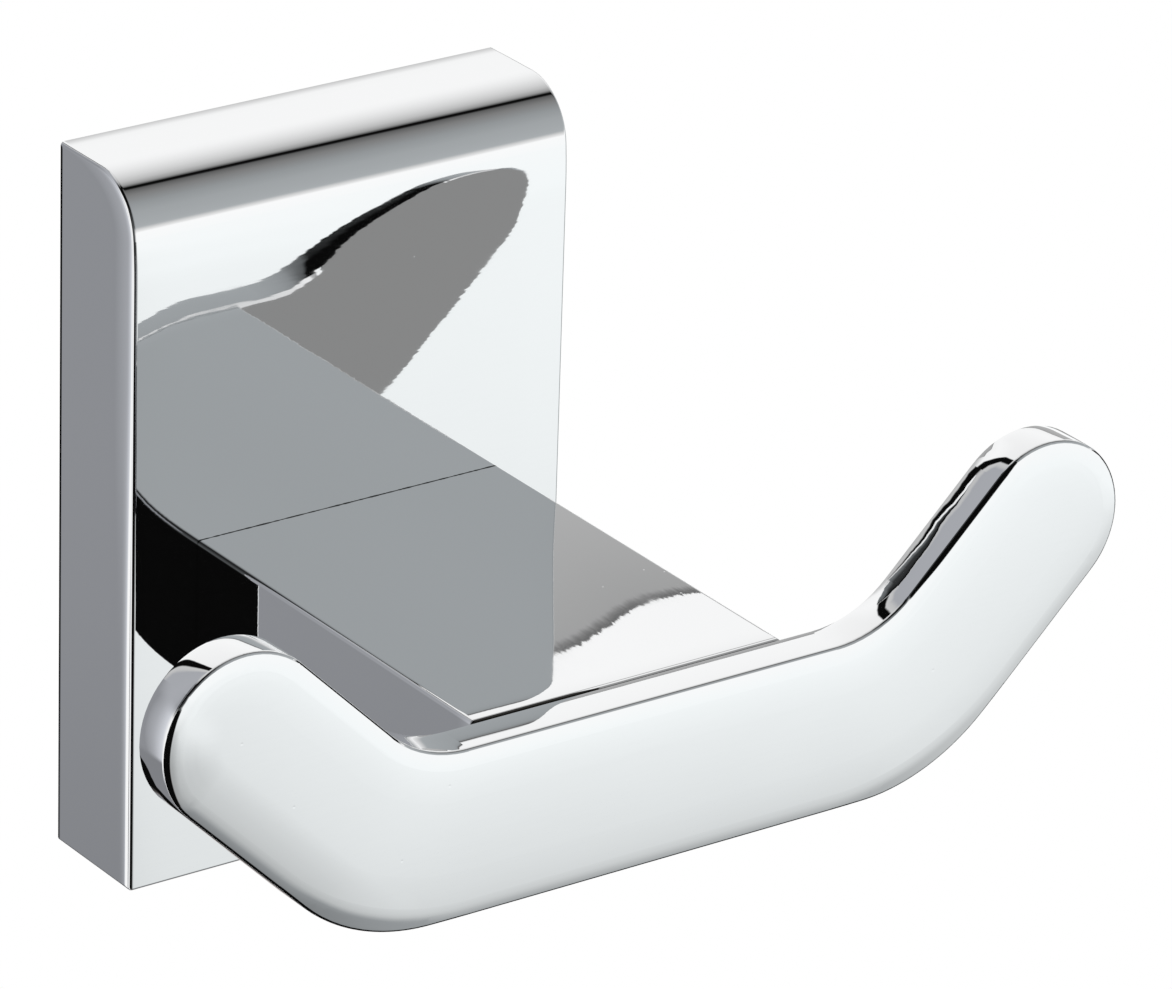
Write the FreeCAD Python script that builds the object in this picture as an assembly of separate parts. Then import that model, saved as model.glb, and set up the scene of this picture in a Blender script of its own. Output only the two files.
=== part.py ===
import FreeCAD, Part
import math
import os

# Double wardrobe hook: a hollow wall rose, a flat arm and a bar with two upturned ends.
# X runs along the bar, Y points into the wall and Z is up.
# The origin lies on the wall, at the middle of the rose's back.

# Wall rose: a cast cover, open at the back, with a rounded top front edge
ROSE_WIDTH = 44.0
ROSE_HEIGHT = 65.5
ROSE_DEPTH = 11.8
ROSE_TOP_RADIUS = 5.5
ROSE_EASE_ANGLE = 4.5
ROSE_EASE_DROP = 7.15
ROSE_EASE_RADIUS = 46.0
ROSE_EDGE_RADIUS = 0.35
ROSE_WALL = 2.0
ROSE_FRONT_WALL = 3.0
ROSE_INNER_RADIUS = 1.0

# Arm: a solid flat bar that stands square on the rose's front
ARM_WIDTH = 31.0
ARM_LENGTH = 41.6
ARM_THICKNESS = 13.5
ARM_TOP_DROP = 1.0
ARM_EDGE_RADIUS = 0.4

# Hook bar: a strip cranked up at both ends, with a flat front that rolls over towards its edges
BAR_HEIGHT = 15.2
BAR_EDGE_THICKNESS = 3.9
BAR_ROLL_WIDTH = 4.4
BAR_ROLL_ANGLE = 14.0
BAR_EASE_WIDTH = 2.8
BAR_EASE_ANGLE = 3.0
BAR_ROLL_SPARE = 1.4
BAR_INNER_HALF = 22.9
BAR_WING_ANGLE = 44.4
BAR_WING_LENGTH = 24.1
BAR_INNER_RADIUS = 10.8
BAR_OUTER_RADIUS = 17.3
BAR_FRONT_RADIUS = 0.3
BAR_BACK_CHAMFER = 0.3

# Wall bracket: a stamped strip with a hooked upper lip and a flat lower lip
BRACKET_SHEET = 1.6
BRACKET_WIDTH = 30.0
BRACKET_HEIGHT = 52.0
BRACKET_BEND_RADIUS = 0.6
TONGUE_RISE = 2.0
TONGUE_REACH = 7.2
LOWER_LIP_REACH = 8.0
WALL_HOLE_DIAMETER = 5.0
WALL_HOLE_SPACING = 36.0

# Seat of the rose on the bracket
RIB_WIDTH = 24.0
RIB_THICKNESS = 2.4
RIB_CHAMFER = 0.7
RIB_CLEARANCE = 0.3

# Grub screw through the rose's underside, with a dog point in the lower lip
GRUB_DIAMETER = 4.0
GRUB_RECESS = 0.4
GRUB_SETBACK = 5.0
GRUB_DOG_DIAMETER = 2.4
GRUB_DOG_CLEARANCE = 0.2
GRUB_DOG_STANDOUT = 0.3
GRUB_SOCKET_WIDTH = 2.0
GRUB_SOCKET_DEPTH = 2.0
GRUB_CHAMFER = 0.3
BOSS_WIDTH = 8.0
BOSS_HEIGHT = 2.0

# Two machine screws from inside the rose into the arm, each on a spring washer
SCREW_DIAMETER = 5.0
SCREW_SPACING = 17.0
SCREW_CLEARANCE = 0.15
SCREW_GRIP = 10.0
SCREW_HOLE_SPARE = 2.0
SCREW_HEAD_DIAMETER = 8.6
SCREW_HEAD_HEIGHT = 2.7
SCREW_HEAD_CHAMFER = 0.9
SCREW_SOCKET_WIDTH = 3.0
SCREW_SOCKET_DEPTH = 1.6
WASHER_DIAMETER = 8.4
WASHER_THICKNESS = 1.2
WASHER_GAP = 0.8

# Places worked out from the sizes
ARM_TOP = -ARM_TOP_DROP
ARM_MIDDLE = ARM_TOP - ARM_THICKNESS / 2
BAR_BACK = -(ROSE_DEPTH + ARM_LENGTH)
EASE = math.radians(BAR_EASE_ANGLE)
ROLL = math.radians(BAR_ROLL_ANGLE)
BAR_EASE_RADIUS = BAR_EASE_WIDTH / math.sin(EASE)
BAR_EASE_DEPTH = BAR_EASE_RADIUS * (1 - math.cos(EASE))
BAR_ROLL_RADIUS = (BAR_ROLL_WIDTH - BAR_EASE_WIDTH) / (math.sin(ROLL) - math.sin(EASE))
BAR_ROLL_DEPTH = BAR_EASE_DEPTH + BAR_ROLL_RADIUS * (math.cos(EASE) - math.cos(ROLL))
BAR_FRONT = BAR_BACK - BAR_EDGE_THICKNESS - BAR_ROLL_DEPTH
CAVITY_FRONT = -(ROSE_DEPTH - ROSE_FRONT_WALL)
CAVITY_TOP = ROSE_HEIGHT / 2 - ROSE_WALL
LIP_TOP = BRACKET_HEIGHT / 2

UP = FreeCAD.Vector(0, 0, 1)
TO_WALL = FreeCAD.Vector(0, 1, 0)
TO_FRONT = FreeCAD.Vector(0, -1, 0)
TO_RIGHT = FreeCAD.Vector(1, 0, 0)


def block(width, y_front, y_back, z_low, z_high):
    """A box centred on x = 0."""
    corner = FreeCAD.Vector(-width / 2, y_front, z_low)
    return Part.makeBox(width, y_back - y_front, z_high - z_low, corner)


def corner_arc(before, corner, after, radius):
    """Start, middle and end of the arc that rounds a corner."""
    back = (before - corner).normalize()
    on = (after - corner).normalize()
    half_angle = back.getAngle(on) / 2
    reach = radius / math.tan(half_angle)
    centre = corner + (back + on).normalize() * (radius / math.sin(half_angle))
    middle = centre + (corner - centre).normalize() * radius
    return corner + back * reach, middle, corner + on * reach


def rounded_face(corners):
    """A flat face from (point, radius) corners; a radius of 0 leaves the corner sharp."""
    arcs = []
    for index, (point, radius) in enumerate(corners):
        before = corners[index - 1][0]
        after = corners[(index + 1) % len(corners)][0]
        arcs.append(corner_arc(before, point, after, radius) if radius > 0 else (point, None, point))
    edges = []
    for index, (start, middle, end) in enumerate(arcs):
        if middle is not None:
            edges.append(Part.Arc(start, middle, end).toShape())
        next_start = arcs[(index + 1) % len(arcs)][0]
        if (next_start - end).Length > 1e-6:
            edges.append(Part.LineSegment(end, next_start).toShape())
    return Part.Face(Part.Wire(edges))


def side_face(x, corners):
    """A rounded face in the plane of the given x, from (y, z, radius) corners."""
    return rounded_face([(FreeCAD.Vector(x, y, z), radius) for y, z, radius in corners])


def hexagon(width, depth, start, direction):
    """A hexagonal socket cut along a direction."""
    circle_radius = width / math.sqrt(3)
    across = TO_RIGHT
    other = direction.cross(across)
    points = []
    for step in range(7):
        angle = math.radians(60 * step)
        offset = across * (circle_radius * math.cos(angle)) + other * (circle_radius * math.sin(angle))
        points.append(start + offset)
    return Part.Face(Part.makePolygon(points)).extrude(direction * depth)


def screw_places():
    """Centres of the two arm screws on the rose's inner front face."""
    return [FreeCAD.Vector(side * SCREW_SPACING / 2, CAVITY_FRONT, ARM_MIDDLE) for side in (-1, 1)]


def rose_shell():
    """The outer form less the cavity."""
    half = ROSE_HEIGHT / 2
    ease_set_back = ROSE_EASE_DROP * math.tan(math.radians(ROSE_EASE_ANGLE))
    outer = side_face(-ROSE_WIDTH / 2, [
        (0, -half, 0),
        (0, half, 0),
        (-ROSE_DEPTH + ease_set_back, half, ROSE_TOP_RADIUS),
        (-ROSE_DEPTH, half - ROSE_EASE_DROP, ROSE_EASE_RADIUS),
        (-ROSE_DEPTH, -half, 0),
    ]).extrude(TO_RIGHT * ROSE_WIDTH)
    shown = [edge for edge in outer.Edges if edge.BoundBox.YMin < -1e-3]
    shown = [edge for edge in shown if not is_crosswise_tangent(edge)]
    outer = outer.makeFillet(ROSE_EDGE_RADIUS, shown)
    inner_width = ROSE_WIDTH - 2 * ROSE_WALL
    cavity = side_face(-inner_width / 2, [
        (0, -CAVITY_TOP, 0),
        (0, CAVITY_TOP, 0),
        (CAVITY_FRONT, CAVITY_TOP, ROSE_TOP_RADIUS - ROSE_WALL),
        (CAVITY_FRONT, -CAVITY_TOP, ROSE_INNER_RADIUS),
    ]).extrude(TO_RIGHT * inner_width)
    return outer.cut(cavity)


def is_crosswise_tangent(edge):
    """True for the lines along X where the top curve runs into its neighbours."""
    box = edge.BoundBox
    along_x = box.XLength > ROSE_WIDTH / 2
    on_underside = box.ZMax < 1e-3 - ROSE_HEIGHT / 2
    return along_x and not on_underside


def rose_rib():
    """The rib under the top wall that hooks behind the bracket's tongue."""
    front = -(TONGUE_REACH - BRACKET_SHEET) + RIB_CLEARANCE
    rib = block(RIB_WIDTH, front, front + RIB_THICKNESS, LIP_TOP, CAVITY_TOP + ROSE_WALL / 2)
    lower_front = [
        edge for edge in rib.Edges
        if edge.BoundBox.YMax < front + 1e-3 and edge.BoundBox.ZMax < LIP_TOP + 1e-3
    ]
    return rib.makeChamfer(RIB_CHAMFER, lower_front)


def wall_rose():
    boss_back = -GRUB_SETBACK + BOSS_WIDTH / 2
    boss = block(
        BOSS_WIDTH, CAVITY_FRONT - ROSE_FRONT_WALL / 2, boss_back,
        -CAVITY_TOP - ROSE_WALL / 2, -CAVITY_TOP + BOSS_HEIGHT,
    )
    rose = rose_shell().fuse([rose_rib(), boss])
    grub_start = FreeCAD.Vector(0, -GRUB_SETBACK, -ROSE_HEIGHT / 2 - 1)
    holes = [Part.makeCylinder(GRUB_DIAMETER / 2, BOSS_HEIGHT + ROSE_WALL + 2, grub_start, UP)]
    for place in screw_places():
        start = place + TO_WALL
        radius = SCREW_DIAMETER / 2 + SCREW_CLEARANCE
        holes.append(Part.makeCylinder(radius, ROSE_FRONT_WALL + 2, start, TO_FRONT))
    return rose.cut(holes).removeSplitter()


def arm():
    body = block(ARM_WIDTH, BAR_BACK, -ROSE_DEPTH, ARM_TOP - ARM_THICKNESS, ARM_TOP)
    long_edges = [edge for edge in body.Edges if edge.BoundBox.YLength > ARM_LENGTH / 2]
    body = body.makeFillet(ARM_EDGE_RADIUS, long_edges)
    for place in screw_places():
        start = FreeCAD.Vector(place.x, -ROSE_DEPTH, place.z)
        depth = SCREW_GRIP + SCREW_HOLE_SPARE
        body = body.cut(Part.makeCylinder(SCREW_DIAMETER / 2, depth, start, TO_FRONT))
    return body


def bar_outline():
    """The bar's outline in its back plane, square to the wall's normal."""
    angle = math.radians(BAR_WING_ANGLE)
    reach = BAR_HEIGHT * math.tan(angle / 2)
    end_radius = BAR_HEIGHT / 2
    right = [(BAR_INNER_HALF, 0, BAR_INNER_RADIUS)]
    end_x = BAR_INNER_HALF + BAR_WING_LENGTH * math.cos(angle)
    end_z = BAR_WING_LENGTH * math.sin(angle)
    right.append((end_x, end_z, end_radius))
    right.append((end_x + BAR_HEIGHT * math.sin(angle), end_z - BAR_HEIGHT * math.cos(angle), end_radius))
    right.append((BAR_INNER_HALF + reach, -BAR_HEIGHT, BAR_OUTER_RADIUS))
    left = [(-x, z, radius) for x, z, radius in reversed(right)]
    return rounded_face([
        (FreeCAD.Vector(x, BAR_BACK, ARM_TOP + z), radius) for x, z, radius in right + left
    ])


def roll_drop(beyond):
    """How far the front lies back at a distance beyond its flat middle."""
    if beyond <= 0:
        return 0
    if beyond <= BAR_EASE_WIDTH:
        return BAR_EASE_RADIUS - math.sqrt(BAR_EASE_RADIUS ** 2 - beyond ** 2)
    reach = BAR_ROLL_RADIUS * math.sin(EASE) + beyond - BAR_EASE_WIDTH
    rise = math.sqrt(BAR_ROLL_RADIUS ** 2 - reach ** 2)
    return BAR_EASE_DEPTH + BAR_ROLL_RADIUS * math.cos(EASE) - rise


def rolled_section(half_only):
    """The strip's section at x = 0: a flat back, and a flat front that rolls over at its edges."""
    middle = ARM_TOP - BAR_HEIGHT / 2
    half = BAR_HEIGHT / 2 + BAR_ROLL_SPARE
    flat_half = BAR_HEIGHT / 2 - BAR_ROLL_WIDTH
    ease_half = flat_half + BAR_EASE_WIDTH

    def front_at(offset):
        return FreeCAD.Vector(0, BAR_FRONT + roll_drop(abs(offset) - flat_half), middle + offset)

    def bow(start, end):
        return Part.Arc(front_at(start), front_at((start + end) / 2), front_at(end)).toShape()

    low = 0 if half_only else -half
    flat_low = 0 if half_only else -flat_half
    edges = [Part.LineSegment(front_at(flat_low), front_at(flat_half)).toShape()]
    edges += [bow(flat_half, ease_half), bow(ease_half, half)]
    back_high = FreeCAD.Vector(0, BAR_BACK, middle + half)
    back_low = FreeCAD.Vector(0, BAR_BACK, middle + low)
    edges += Part.makePolygon([front_at(half), back_high, back_low, front_at(low)]).Edges
    if not half_only:
        edges += [bow(-half, -ease_half), bow(-ease_half, -flat_half)]
    return Part.Face(Part.Wire(edges))


def rolled_right_side():
    """The rolled section led along the right half of the bar and round its end."""
    angle = math.radians(BAR_WING_ANGLE)
    middle = ARM_TOP - BAR_HEIGHT / 2
    bend_radius = BAR_INNER_RADIUS + BAR_HEIGHT / 2
    bend_start = BAR_INNER_HALF - BAR_INNER_RADIUS * math.tan(angle / 2)
    straight = BAR_WING_LENGTH - BAR_INNER_RADIUS * math.tan(angle / 2) - BAR_HEIGHT / 2
    bend_centre = FreeCAD.Vector(bend_start, BAR_BACK, middle + bend_radius)
    section = rolled_section(False)
    level = section.extrude(TO_RIGHT * bend_start)
    section.translate(TO_RIGHT * bend_start)
    bend = section.revolve(bend_centre, TO_FRONT, BAR_WING_ANGLE)
    wing_section = section.rotated(bend_centre, TO_FRONT, BAR_WING_ANGLE)
    along = FreeCAD.Vector(math.cos(angle), 0, math.sin(angle))
    wing = wing_section.extrude(along * straight)
    end_centre = FreeCAD.Vector(
        bend_start + bend_radius * math.sin(angle) + straight * math.cos(angle),
        BAR_BACK,
        middle + bend_radius * (1 - math.cos(angle)) + straight * math.sin(angle),
    )
    half_section = rolled_section(True)
    half_section.translate(FreeCAD.Vector(end_centre.x, 0, end_centre.z - middle))
    end = half_section.revolve(end_centre, TO_WALL, 360)
    return level.fuse([bend, wing, end])


def contour_edges(shape, y_low, y_high):
    """Edges of the walls parallel to Y that lie between two y values."""
    found = []
    for face in shape.Faces:
        u_low, u_high, v_low, v_high = face.ParameterRange
        normal = face.normalAt((u_low + u_high) / 2, (v_low + v_high) / 2)
        if abs(normal.y) < 0.01:
            found += [
                edge for edge in face.Edges
                if edge.BoundBox.YMin > y_low and edge.BoundBox.YMax < y_high
            ]
    return found


def hook_bar():
    right = rolled_right_side()
    left = right.mirror(FreeCAD.Vector(0, 0, 0), TO_RIGHT)
    strip = right.fuse(left).removeSplitter()
    prism = bar_outline().extrude(TO_FRONT * (BAR_EDGE_THICKNESS + 2 * BAR_ROLL_DEPTH))
    bar = strip.common(prism)
    front_line = BAR_BACK - BAR_EDGE_THICKNESS / 2
    front_edges = contour_edges(bar, BAR_BACK - 2 * BAR_EDGE_THICKNESS, front_line)
    bar = bar.makeFillet(BAR_FRONT_RADIUS, front_edges)
    back_edges = contour_edges(bar, BAR_BACK - 1e-3, BAR_BACK + 1e-3)
    return bar.makeChamfer(BAR_BACK_CHAMFER, back_edges)


def wall_bracket():
    tongue_front = -TONGUE_REACH
    tongue_back = -TONGUE_REACH + BRACKET_SHEET
    bend = BRACKET_BEND_RADIUS
    outer_bend = BRACKET_BEND_RADIUS + BRACKET_SHEET
    strip = side_face(-BRACKET_WIDTH / 2, [
        (tongue_front, LIP_TOP + TONGUE_RISE, 0),
        (tongue_back, LIP_TOP + TONGUE_RISE, 0),
        (tongue_back, LIP_TOP, bend),
        (0, LIP_TOP, outer_bend),
        (0, -LIP_TOP, outer_bend),
        (-LOWER_LIP_REACH, -LIP_TOP, 0),
        (-LOWER_LIP_REACH, -LIP_TOP + BRACKET_SHEET, 0),
        (-BRACKET_SHEET, -LIP_TOP + BRACKET_SHEET, bend),
        (-BRACKET_SHEET, LIP_TOP - BRACKET_SHEET, bend),
        (tongue_front, LIP_TOP - BRACKET_SHEET, outer_bend),
    ]).extrude(TO_RIGHT * BRACKET_WIDTH)
    holes = []
    for side in (-1, 1):
        start = FreeCAD.Vector(0, 1, side * WALL_HOLE_SPACING / 2)
        holes.append(Part.makeCylinder(WALL_HOLE_DIAMETER / 2, BRACKET_SHEET + 2, start, TO_FRONT))
    dog_start = FreeCAD.Vector(0, -GRUB_SETBACK, -LIP_TOP - 1)
    dog_radius = GRUB_DOG_DIAMETER / 2 + GRUB_DOG_CLEARANCE
    holes.append(Part.makeCylinder(dog_radius, BRACKET_SHEET + 2, dog_start, UP))
    return strip.cut(holes)


def grub_screw():
    low = -ROSE_HEIGHT / 2 + GRUB_RECESS
    length = -LIP_TOP - low
    start = FreeCAD.Vector(0, -GRUB_SETBACK, low)
    body = Part.makeCylinder(GRUB_DIAMETER / 2, length, start, UP)
    low_rim = [edge for edge in body.Edges if edge.BoundBox.ZMax < low + 1e-3]
    body = body.makeChamfer(GRUB_CHAMFER, low_rim)
    dog_length = BRACKET_SHEET + GRUB_DOG_STANDOUT
    dog = Part.makeCylinder(GRUB_DOG_DIAMETER / 2, dog_length, start + UP * length, UP)
    return body.fuse(dog).cut(hexagon(GRUB_SOCKET_WIDTH, GRUB_SOCKET_DEPTH, start, UP))


def arm_screw(place):
    seat = place + TO_WALL * WASHER_THICKNESS
    shank_length = WASHER_THICKNESS + ROSE_FRONT_WALL + SCREW_GRIP
    shank = Part.makeCylinder(SCREW_DIAMETER / 2, shank_length, seat, TO_FRONT)
    head = Part.makeCylinder(SCREW_HEAD_DIAMETER / 2, SCREW_HEAD_HEIGHT, seat, TO_WALL)
    head_back = seat.y + SCREW_HEAD_HEIGHT
    rim = [edge for edge in head.Edges if edge.BoundBox.YMin > head_back - 1e-3]
    head = head.makeChamfer(SCREW_HEAD_CHAMFER, rim)
    socket_start = FreeCAD.Vector(place.x, head_back, place.z)
    socket = hexagon(SCREW_SOCKET_WIDTH, SCREW_SOCKET_DEPTH, socket_start, TO_FRONT)
    return shank.fuse(head).cut(socket)


def lock_washer(place):
    ring = Part.makeCylinder(WASHER_DIAMETER / 2, WASHER_THICKNESS, place, TO_WALL)
    bore = Part.makeCylinder(SCREW_DIAMETER / 2 + SCREW_CLEARANCE, WASHER_THICKNESS, place, TO_WALL)
    corner = place + FreeCAD.Vector(-WASHER_GAP / 2, 0, 0)
    split = Part.makeBox(WASHER_GAP, WASHER_THICKNESS, WASHER_DIAMETER, corner)
    return ring.cut([bore, split])


def make_parts():
    return {
        "wall_rose": wall_rose(),
        "arm": arm(),
        "hook_bar": hook_bar(),
        "wall_bracket": wall_bracket(),
        "grub_screw": grub_screw(),
        "arm_screws": Part.makeCompound([arm_screw(place) for place in screw_places()]),
        "lock_washers": Part.makeCompound([lock_washer(place) for place in screw_places()]),
    }


os.makedirs("parts", exist_ok=True)
for name, shape in make_parts().items():
    shape.exportStep("parts/" + name + ".step")
    print(name, "solids", len(shape.Solids), "valid", shape.isValid(), "volume", round(shape.Volume, 1))
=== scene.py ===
import math

import bmesh
import bpy
from mathutils import Matrix, Vector


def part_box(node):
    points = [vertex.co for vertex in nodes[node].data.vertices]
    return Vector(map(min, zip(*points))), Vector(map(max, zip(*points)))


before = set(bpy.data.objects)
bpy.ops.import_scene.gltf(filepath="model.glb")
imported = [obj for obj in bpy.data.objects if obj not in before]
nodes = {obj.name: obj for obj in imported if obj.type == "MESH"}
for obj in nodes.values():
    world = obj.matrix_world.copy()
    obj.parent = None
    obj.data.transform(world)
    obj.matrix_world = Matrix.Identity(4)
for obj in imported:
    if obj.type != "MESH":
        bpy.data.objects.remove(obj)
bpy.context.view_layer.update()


# Wall bracket
# A strip stamped from 1.6 mm steel sheet, folded at both lips and drilled for two wall screws.
# It is barrel plated with zinc, which leaves a dull bluish skin with light and dark flecks.
def new_group(name, inputs, outputs):
    group = bpy.data.node_groups.new(name, "ShaderNodeTree")
    for label, kind, value in inputs:
        socket = group.interface.new_socket(label, in_out="INPUT", socket_type=kind)
        socket.default_value = value
    for label, kind in outputs:
        group.interface.new_socket(label, in_out="OUTPUT", socket_type=kind)
    return group, group.nodes.new("NodeGroupInput").outputs, group.nodes.new("NodeGroupOutput").inputs


def maths(tree, operation, *values):
    node = tree.nodes.new("ShaderNodeMath")
    node.operation = operation
    for index, value in enumerate(values):
        if isinstance(value, (int, float)):
            node.inputs[index].default_value = value
        else:
            tree.links.new(value, node.inputs[index])
    return node.outputs[0]


def smooth_step(tree, value, start, end):
    """0 before the start and 1 past the end, also where the end is the lower of the two."""
    node = tree.nodes.new("ShaderNodeMapRange")
    node.interpolation_type = "SMOOTHSTEP"
    node.inputs["From Min"].default_value = start
    node.inputs["From Max"].default_value = end
    tree.links.new(value, node.inputs["Value"])
    return node.outputs["Result"]


EVENLY = (1.0, 1.0, 1.0)


def noise(tree, place, scale, stretch, detail=2.0):
    """A noise texture whose pattern is long along the axes with a small stretch value."""
    mapping = tree.nodes.new("ShaderNodeVectorMath")
    mapping.operation = "MULTIPLY"
    tree.links.new(place, mapping.inputs[0])
    if isinstance(stretch, tuple):
        mapping.inputs[1].default_value = stretch
    else:
        tree.links.new(stretch, mapping.inputs[1])
    texture = tree.nodes.new("ShaderNodeTexNoise")
    texture.inputs["Scale"].default_value = scale
    texture.inputs["Detail"].default_value = detail
    tree.links.new(mapping.outputs[0], texture.inputs["Vector"])
    return texture.outputs


def mix_colour(tree, factor, first, second):
    node = tree.nodes.new("ShaderNodeMix")
    node.data_type = "RGBA"
    for value, socket in zip((factor, first, second), (node.inputs[0], node.inputs[6], node.inputs[7])):
        if isinstance(value, tuple):
            socket.default_value = value
        else:
            tree.links.new(value, socket)
    return node.outputs[2]


def use_group(tree, group, **values):
    node = tree.nodes.new("ShaderNodeGroup")
    node.node_tree = group
    for label, value in values.items():
        socket = node.inputs[label.replace("_", " ")]
        if isinstance(value, (int, float, tuple)):
            socket.default_value = value
        else:
            tree.links.new(value, socket)
    return node.outputs


def object_place(tree):
    return tree.nodes.new("ShaderNodeTexCoord").outputs["Object"]


def make_zinc_group():
    group, given, result = new_group(
        "zinc plating",
        [
            ("Light", "NodeSocketColor", (0.68, 0.69, 0.69, 1.0)),
            ("Dark", "NodeSocketColor", (0.46, 0.47, 0.48, 1.0)),
            ("Roll", "NodeSocketVector", EVENLY),
            ("Dullness", "NodeSocketFloat", 0.3),
        ],
        [("Color", "NodeSocketColor"), ("Roughness", "NodeSocketFloat"), ("Height", "NodeSocketFloat")],
    )
    place = object_place(group)
    clouds = noise(group, place, 260.0, EVENLY, 4.0)["Fac"]
    flecks = noise(group, place, 2600.0, EVENLY, 1.0)["Fac"]
    rolled = noise(group, place, 3000.0, given["Roll"], 3.0)["Fac"]
    fleck_mask = smooth_step(group, flecks, 0.35, 0.75)
    tone = maths(group, "MULTIPLY_ADD", fleck_mask, 0.45, maths(group, "MULTIPLY", clouds, 0.6))
    group.links.new(mix_colour(group, tone, given["Dark"], given["Light"]), result["Color"])
    spread = maths(group, "MULTIPLY_ADD", rolled, 0.22, maths(group, "MULTIPLY", clouds, 0.18))
    roughness = maths(group, "ADD", maths(group, "SUBTRACT", spread, 0.2), given["Dullness"])
    group.links.new(roughness, result["Roughness"])
    group.links.new(maths(group, "MULTIPLY_ADD", fleck_mask, 0.3, rolled), result["Height"])
    return group


def metal(name, base, roughness):
    """A bare metal material with its tree and its shader."""
    material = bpy.data.materials.new(name)
    material.use_nodes = True
    shader = material.node_tree.nodes["Principled BSDF"]
    shader.inputs["Base Color"].default_value = (*base, 1.0)
    shader.inputs["Metallic"].default_value = 1.0
    shader.inputs["Roughness"].default_value = roughness
    return material, material.node_tree, shader


def add_bump(tree, shader, height, distance, strength, under=None):
    bump = tree.nodes.new("ShaderNodeBump")
    bump.inputs["Distance"].default_value = distance
    bump.inputs["Strength"].default_value = strength
    tree.links.new(height, bump.inputs["Height"])
    if under is not None:
        tree.links.new(under, bump.inputs["Normal"])
    tree.links.new(bump.outputs["Normal"], shader.inputs["Normal"])


def zinc(name, roll, dullness, light, dark):
    material, tree, shader = metal(name, light[:3], dullness)
    plating = use_group(tree, zinc_group, Light=light, Dark=dark, Roll=roll, Dullness=dullness)
    tree.links.new(plating["Color"], shader.inputs["Base Color"])
    tree.links.new(plating["Roughness"], shader.inputs["Roughness"])
    add_bump(tree, shader, plating["Height"], 0.00004, 0.5)
    return material


def dress(node_name, material):
    for slot in nodes[node_name].material_slots:
        slot.material = material


zinc_group = make_zinc_group()
SHEET_ROLLED_UPWARDS = (1.0, 1.0, 0.05)
dress("wall_bracket", zinc(
    "bracket zinc", roll=SHEET_ROLLED_UPWARDS, dullness=0.34,
    light=(0.70, 0.71, 0.72, 1.0), dark=(0.47, 0.49, 0.51, 1.0),
))


# Wall rose
# A cast cover, ground flat, buffed on a wheel and chrome plated. Buffing leaves fine hair lines
# along the wheel's path, long low waves, and faces that turn over a little before their edges.
def separate(tree, vector):
    node = tree.nodes.new("ShaderNodeSeparateXYZ")
    tree.links.new(vector, node.inputs[0])
    return node.outputs


def combine(tree, *parts):
    node = tree.nodes.new("ShaderNodeCombineXYZ")
    for part, socket in zip(parts, node.inputs):
        if isinstance(part, (int, float)):
            socket.default_value = part
        else:
            tree.links.new(part, socket)
    return node.outputs[0]


def vector_maths(tree, operation, *values):
    node = tree.nodes.new("ShaderNodeVectorMath")
    node.operation = operation
    for index, value in enumerate(values):
        if operation == "SCALE" and index == 1:
            socket = node.inputs["Scale"]
        else:
            socket = node.inputs[index]
        if isinstance(value, (int, float, tuple)):
            socket.default_value = value
        else:
            tree.links.new(value, socket)
    return node.outputs["Value" if operation in ("LENGTH", "DISTANCE") else "Vector"]


def make_buffed_group():
    group, given, result = new_group(
        "buffed surface",
        [
            ("Lean", "NodeSocketVector", (0.0, 0.0, 0.0)),
            ("Grain", "NodeSocketVector", (0.05, 1.0, 1.0)),
            ("Wave", "NodeSocketFloat", 0.008),
            ("Hair", "NodeSocketFloat", 0.006),
        ],
        [("Normal", "NodeSocketVector"), ("Roughness", "NodeSocketFloat")],
    )
    place = object_place(group)
    normal = group.nodes.new("ShaderNodeNewGeometry").outputs["Normal"]
    turned = vector_maths(group, "ADD", normal, given["Lean"])
    for scale, stretch, detail, size in (
        (90.0, EVENLY, 1.0, given["Wave"]),
        (4000.0, given["Grain"], 2.0, given["Hair"]),
    ):
        wander = noise(group, place, scale, stretch, detail)["Color"]
        wander = vector_maths(group, "SUBTRACT", wander, (0.5, 0.5, 0.5))
        turned = vector_maths(group, "ADD", turned, vector_maths(group, "SCALE", wander, size))
    group.links.new(vector_maths(group, "NORMALIZE", turned), result["Normal"])
    haze = noise(group, place, 120.0, EVENLY, 5.0)["Fac"]
    haze = maths(group, "MULTIPLY_ADD", smooth_step(group, haze, 0.5, 0.8), 0.03, 0.018)
    group.links.new(haze, result["Roughness"])
    return group


def pits(tree, place, centres, radius):
    """Height of a few round pits, 0 on the surface and -1 at each centre."""
    depth = 0.0
    for centre in centres:
        away = vector_maths(tree, "DISTANCE", place, tuple(value / 1000 for value in centre))
        depth = maths(tree, "ADD", smooth_step(tree, away, radius, 0.0), depth)
    return maths(tree, "MULTIPLY", depth, -1.0)


def fade(tree, distance, reach, power):
    """1 at a distance of 0, falling to 0 at the reach."""
    share = maths(tree, "SUBTRACT", 1.0, maths(tree, "DIVIDE", distance, reach))
    share = maths(tree, "MINIMUM", maths(tree, "MAXIMUM", share, 0.0), 1.0)
    return maths(tree, "POWER", share, power)


def blend(tree, factor, first, second):
    """The first value where the factor is 0, and the second where it is 1."""
    return maths(tree, "MULTIPLY_ADD", factor, maths(tree, "SUBTRACT", second, first), first)


def add_all(tree, *values):
    total = values[0]
    for value in values[1:]:
        total = maths(tree, "ADD", total, value)
    return total


def product(tree, *values):
    total = values[0]
    for value in values[1:]:
        total = maths(tree, "MULTIPLY", total, value)
    return total


CHROME = (0.90, 0.905, 0.91)
FLAT_FROM = 0.97
FLAT_AT = 0.995
BUFFED_SIDEWAYS = (0.06, 1.0, 1.0)
BUFFED_INWARDS = (1.0, 0.06, 1.0)
PIT_DEPTH = 0.000006
buffed_group = make_buffed_group()


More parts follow.
